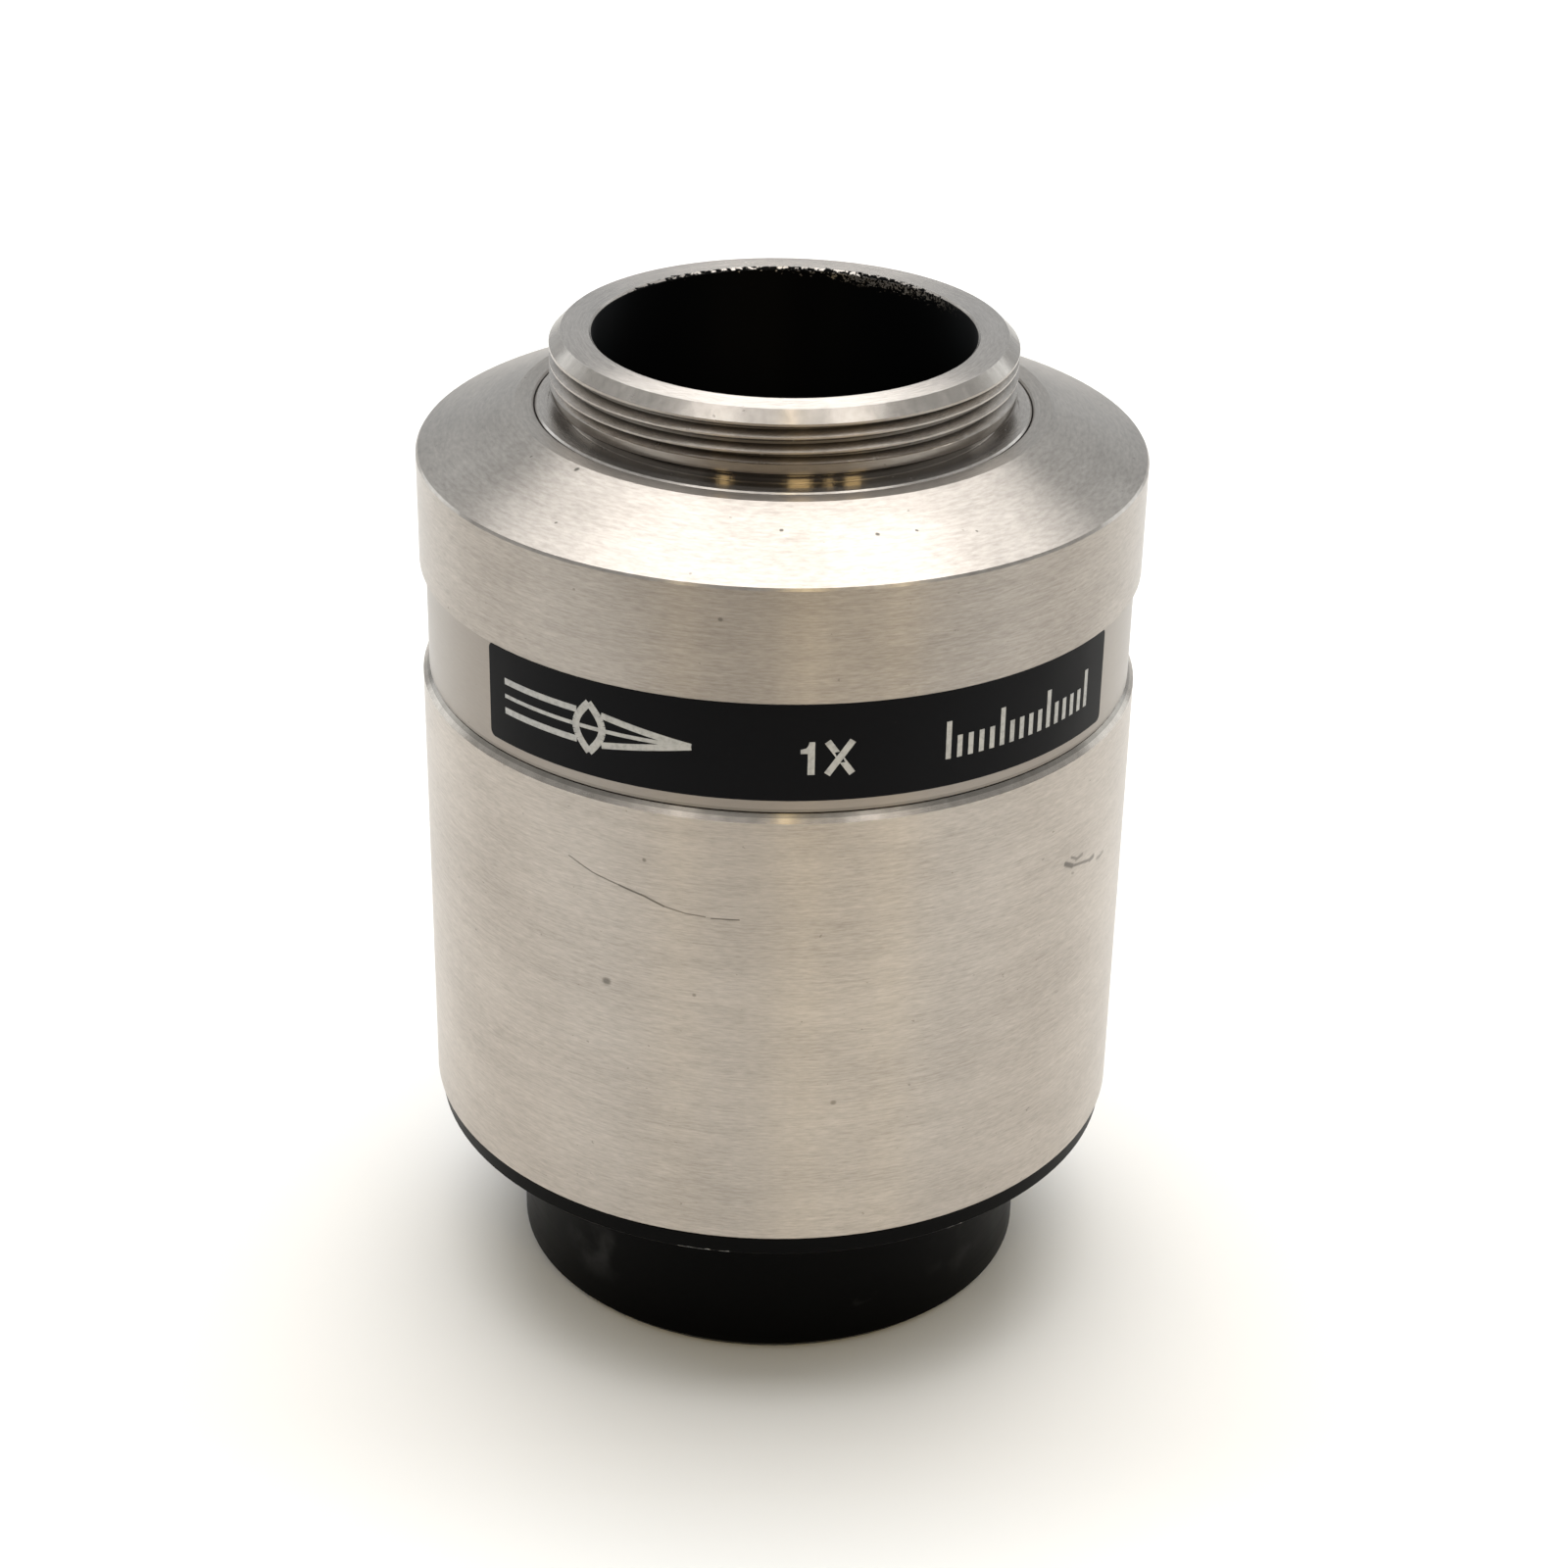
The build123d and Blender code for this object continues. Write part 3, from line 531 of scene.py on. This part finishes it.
# %% [markdown]
# ## The label
# The label is a strip of near-black film with light grey print. Film has a soft shine of its
# own and takes up fine dust.

# %% Label film and ink
film = Finish("label_film")
x, y, z, radius, angle = film.place()
dust = film.noise(film.vector(x * 4, y * 4, z * 4), detail=4, roughness=0.7)
haze = film.noise(film.vector(x * 0.3, y * 0.3, z * 0.3), detail=2)
label_film = film.surface(
    Base_Color=film.blend(film.step(dust, 0.66, 0.8) * 0.5,
                          (0.0020, 0.0022, 0.0034, 1), (0.03, 0.03, 0.03, 1)),
    Roughness=(haze - 0.5) * 0.15 + 0.42, Specular_IOR_Level=0.08,
    Normal=film.bump(dust, 0.1, GRAIN_DEPTH))
give(label_film, "name_label")

ink = Finish("label_ink")
x, y, z, radius, angle = ink.place()
wear = ink.noise(ink.vector(x * 3, y * 3, z * 3), detail=4, roughness=0.7)
label_ink = ink.surface(
    Base_Color=ink.blend(ink.step(wear, 0.3, 0.6),
                         (0.35, 0.355, 0.36, 1), (0.49, 0.495, 0.50, 1)),
    Roughness=wear * 0.2 + 0.45)

# %% [markdown]
# ## The print
# Print is modelled as very thin raised shapes wrapped round the label, so it stays sharp from
# every distance. Each shape is drawn flat, in millimetres along the label and up it, then bent
# to the label's radius and given its thickness.

# %% Wrap flat outlines round the label
LABEL_RADIUS = max(math.hypot(v.co.x, v.co.y) for v in nodes["name_label"].data.vertices)
INK_SUNK, INK_PROUD = 0.00002, 0.00001
print("label radius", round(LABEL_RADIUS * 1000, 3), "mm")


def wrap(u, v, radius):
    """A point u along the label from the front, and at height v."""
    return (radius * math.sin(u / LABEL_RADIUS), -radius * math.cos(u / LABEL_RADIUS), v)


def stamp(name, outlines):
    """Thin solids from flat outlines, each a list of (u, v) in metres, anticlockwise."""
    points, faces = [], []
    for outline in outlines:
        first, count = len(points), len(outline)
        points += [wrap(u, v, LABEL_RADIUS - INK_SUNK) for u, v in outline]
        points += [wrap(u, v, LABEL_RADIUS + INK_PROUD) for u, v in outline]
        faces.append([first + i for i in reversed(range(count))])
        faces.append([first + count + i for i in range(count)])
        for i in range(count):
            j = (i + 1) % count
            faces.append([first + i, first + j, first + count + j, first + count + i])
    mesh = bpy.data.meshes.new(name)
    mesh.from_pydata(points, [], faces)
    mesh.materials.append(label_ink)
    piece = bpy.data.objects.new(name, mesh)
    bpy.context.collection.objects.link(piece)
    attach(piece, "body")
    print(name, len(faces), "faces")


def bar(start, end, width, pieces=1):
    """A straight stroke between two points, as short four-cornered pieces."""
    (x0, y0), (x1, y1) = start, end
    length = math.hypot(x1 - x0, y1 - y0)
    nx, ny = -(y1 - y0) / length * width / 2, (x1 - x0) / length * width / 2
    cuts = [(x0 + (x1 - x0) * i / pieces, y0 + (y1 - y0) * i / pieces) for i in range(pieces + 1)]
    return [[(ax - nx, ay - ny), (bx - nx, by - ny), (bx + nx, by + ny), (ax + nx, ay + ny)]
            for (ax, ay), (bx, by) in zip(cuts, cuts[1:])]


# %% [markdown]
# The middle of the label carries the magnification, 1X. On its left stands a plain drawing of
# a lens that brings three rays to a point. Both are drawn from straight strokes and arcs, so no
# font is needed.

# %% Magnification mark and lens drawing
def at(degrees, height):
    return (math.radians(degrees) * LABEL_RADIUS, height * MM)


def moved(outlines, u, v):
    return [[(x + u, y + v) for x, y in outline] for outline in outlines]


def in_mm(*outlines):
    return [[(x * MM, y * MM) for x, y in outline] for outline in outlines]


CAP, STROKE = 1.86 * MM, 0.36 * MM
mark_u, mark_v = at(2.9, 40.0)
one = in_mm([(0.62, 0), (0.98, 0), (0.98, 1.86), (0.70, 1.86), (0.62, 1.62)],
            [(0.62, 1.62), (0.52, 1.50), (0.25, 1.44), (0.25, 1.20), (0.62, 1.20)])
CROSS_LEFT, CROSS_RIGHT = 1.62 * MM, 2.92 * MM
cross = bar((CROSS_LEFT, 0), (CROSS_RIGHT, CAP), STROKE)
cross += bar((CROSS_LEFT, CAP), (CROSS_RIGHT, 0), STROKE)
stamp("label_magnification", moved(one + cross, mark_u, mark_v))


def lens_side(height, bulge, side, steps=12):
    """One bowed side of the lens outline, as a row of points."""
    return [(side * bulge * math.cos(math.pi / 2 * (2 * i / steps - 1)),
             height * (i / steps - 0.5)) for i in range(steps + 1)]


def chain(points, width):
    """Short strokes along a row of points, one from each point to the next."""
    return [piece for p, q in zip(points, points[1:]) for piece in bar(p, q, width)]


LENS_HEIGHT, LENS_BULGE, LENS_STROKE = 2.8 * MM, 0.8 * MM, 0.42 * MM
RAY_START, RAY_END, RAY_OFFSET, LENS_EDGE = 5.8 * MM, 5.7 * MM, 0.85 * MM, 0.75 * MM
RAY_STROKE, AXIS_STROKE = 0.36 * MM, 0.22 * MM
centre_u, centre_v = at(-29.1, 41.25)
drawing = []
for side in (1, -1):
    drawing += chain(lens_side(LENS_HEIGHT, LENS_BULGE, side), LENS_STROKE)
for height in (RAY_OFFSET, -RAY_OFFSET):
    drawing += bar((-RAY_START, height), (-LENS_EDGE, height), RAY_STROKE, 6)
    drawing += bar((LENS_EDGE, height), (RAY_END, 0), RAY_STROKE, 6)
drawing += bar((-RAY_START, 0), (RAY_END, 0), AXIS_STROKE, 12)
stamp("label_lens_drawing", moved(drawing, centre_u, centre_v))

# %% [markdown]
# ## A scale by Geometry Nodes
# On the right stands a plain scale of ticks. Ticks repeat, so a node tree makes them: a line of
# points, moved on to the label's circle, with one box set on each. Every fifth tick is taller.
# The tree runs once, and its mesh is kept.

# %% Build the tick tree
def tick_tree():
    tree = bpy.data.node_groups.new("label_ticks", "GeometryNodeTree")
    tree.interface.new_socket("Geometry", in_out="OUTPUT", socket_type="NodeSocketGeometry")
    for name, kind, value in (
            ("Count", "NodeSocketInt", 16), ("Radius", "NodeSocketFloat", 0.0198),
            ("First Angle", "NodeSocketFloat", 0.0), ("Step Angle", "NodeSocketFloat", 0.03),
            ("Foot Height", "NodeSocketFloat", 0.04), ("Short Tick", "NodeSocketFloat", 0.001),
            ("Long Tick", "NodeSocketFloat", 0.002), ("Tick Width", "NodeSocketFloat", 0.0003),
            ("Thickness", "NodeSocketFloat", 0.00003), ("Ink", "NodeSocketMaterial", None)):
        socket = tree.interface.new_socket(name, in_out="INPUT", socket_type=kind)
        if value is not None:
            socket.default_value = value
    nodes_of, link = tree.nodes, tree.links.new
    given = nodes_of.new("NodeGroupInput").outputs

    def add(kind, settings=None, inputs=None):
        node = nodes_of.new(kind)
        for key, value in (settings or {}).items():
            setattr(node, key, value)
        for key, value in (inputs or {}).items():
            if hasattr(value, "is_output"):
                link(value, node.inputs[key])
            else:
                node.inputs[key].default_value = value
        return node.outputs[0]

    def maths(operation, first, second=0.0):
        return add("ShaderNodeMath", {"operation": operation}, {0: first, 1: second})

    index = add("GeometryNodeInputIndex")
    turn = maths("ADD", given["First Angle"], maths("MULTIPLY", index, given["Step Angle"]))
    tall = maths("COMPARE", maths("MODULO", index, 5.0), 0.0)
    tall.node.inputs[2].default_value = 0.1     # how far from 0 still counts as 0
    height = maths("ADD", given["Short Tick"], maths(
        "MULTIPLY", tall, maths("SUBTRACT", given["Long Tick"], given["Short Tick"])))
    place = add("ShaderNodeCombineXYZ", inputs={
        0: maths("MULTIPLY", given["Radius"], maths("SINE", turn)),
        1: maths("MULTIPLY", given["Radius"], maths("MULTIPLY", maths("COSINE", turn), -1.0)),
        2: maths("ADD", given["Foot Height"], maths("MULTIPLY", height, 0.5))})
    line = add("GeometryNodeMeshLine", inputs={"Count": given["Count"]})
    line = add("GeometryNodeSetPosition", inputs={"Geometry": line, "Position": place})
    box = add("GeometryNodeMeshCube", inputs={"Size": (1, 1, 1)})
    size = add("ShaderNodeCombineXYZ", inputs={
        0: given["Tick Width"], 1: given["Thickness"], 2: height})
    spin = add("FunctionNodeEulerToRotation", inputs={
        0: add("ShaderNodeCombineXYZ", inputs={2: turn})})
    ticks = add("GeometryNodeInstanceOnPoints", inputs={
        "Points": line, "Instance": box, "Rotation": spin, "Scale": size})
    ticks = add("GeometryNodeRealizeInstances", inputs={"Geometry": ticks})
    ticks = add("GeometryNodeSetMaterial", inputs={"Geometry": ticks, "Material": given["Ink"]})
    link(ticks, nodes_of.new("NodeGroupOutput").inputs["Geometry"])
    return tree


# %% Run the tree once and keep its mesh
def grown(name, tree, values):
    """Runs a tree with named values and returns its result as a plain mesh object."""
    holder = bpy.data.objects.new(name + "_maker", bpy.data.meshes.new(name + "_maker"))
    bpy.context.collection.objects.link(holder)
    modifier = holder.modifiers.new("ticks", "NODES")
    modifier.node_group = tree
    for item in tree.interface.items_tree:
        if item.in_out == "INPUT" and item.name in values:
            modifier[item.identifier] = values[item.name]
    shown = holder.evaluated_get(bpy.context.evaluated_depsgraph_get())
    mesh = bpy.data.meshes.new_from_object(shown)
    holder.modifiers.remove(modifier)
    bpy.data.objects.remove(holder)
    piece = bpy.data.objects.new(name, mesh)
    bpy.context.collection.objects.link(piece)
    return piece


scale_ticks = grown("label_scale", tick_tree(), {
    "Count": 16, "Radius": LABEL_RADIUS - INK_SUNK / 2 + INK_PROUD / 2,
    "First Angle": math.radians(26.5), "Step Angle": math.radians(1.93),
    "Foot Height": 40.05 * MM, "Short Tick": 1.25 * MM, "Long Tick": 2.15 * MM,
    "Tick Width": 0.3 * MM, "Thickness": INK_SUNK + INK_PROUD, "Ink": label_ink})
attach(scale_ticks, "body")
print("ticks:", len(scale_ticks.data.polygons), "faces")

# %% [markdown]
# ## Finish the stage
# The floor is pale, painted lighter a little in front of the object, a painted light over the
# object's shadow, and painted dark far in front, a painted shadow that only the metal sees. The
# board is dark.

# %% Stage finishes and the end
floor_paint = Finish("floor_painted_light_and_shadow")
x, y, z, radius, angle = floor_paint.place()
# Painted light: lighter from 20 to 42 mm in front onwards, over the object's shadow. Painted
# shadow: dark from 70 to 150 mm in front.
near = floor_paint.step(y * -1, 20, 42)
front = floor_paint.step(y * -1, 70, 150)
pale = floor_paint.blend(near, (0.85, 0.83, 0.80, 1), (0.97, 0.97, 0.96, 1))
floor.data.materials.append(floor_paint.surface(
    Base_Color=floor_paint.blend(front, pale, (0.42, 0.36, 0.29, 1)), Roughness=0.7))
board_paint = Finish("dark_board")
front_board.data.materials.append(
    board_paint.surface(Base_Color=(0.05, 0.04, 0.033, 1), Roughness=0.8))
